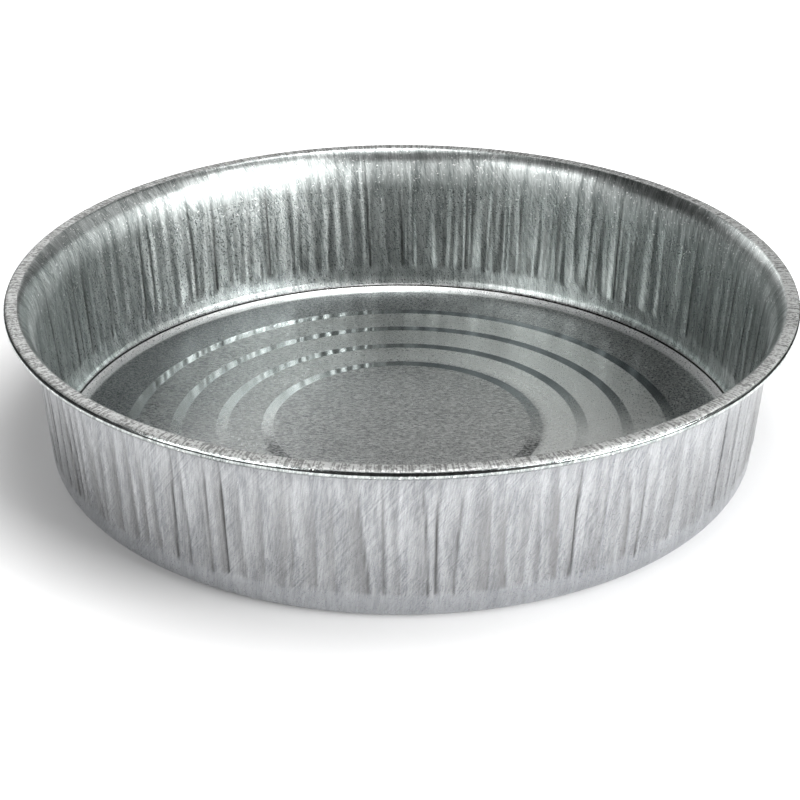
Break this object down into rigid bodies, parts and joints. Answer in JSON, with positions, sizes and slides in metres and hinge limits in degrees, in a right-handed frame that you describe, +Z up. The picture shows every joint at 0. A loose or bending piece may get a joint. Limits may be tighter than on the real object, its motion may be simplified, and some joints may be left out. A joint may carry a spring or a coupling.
{
  "type": "oil drain pan",
  "caption": "Round galvanised steel oil drain pan with a wired, rolled rim, a drawn wrinkled wall and a floor stiffened by shallow concentric rings.",
  "frame": {"origin": "centre of the foot, on the plane that the pan rests on", "axes": "+Z up along the pan's axis, out of its open top; +X and +Y are free, because the pan is round"},
  "size_m": [0.4064, 0.4064, 0.088],
  "materials": {
    "galvanised_sheet": "galvanised, semi-bright zinc with a fine spangle",
    "bead_wire": "plain drawn steel wire"
  },
  "bodies": {
    "root": {"pan_body": "galvanised_sheet", "rim_wire": "bead_wire"}
  },
  "joints": []
}
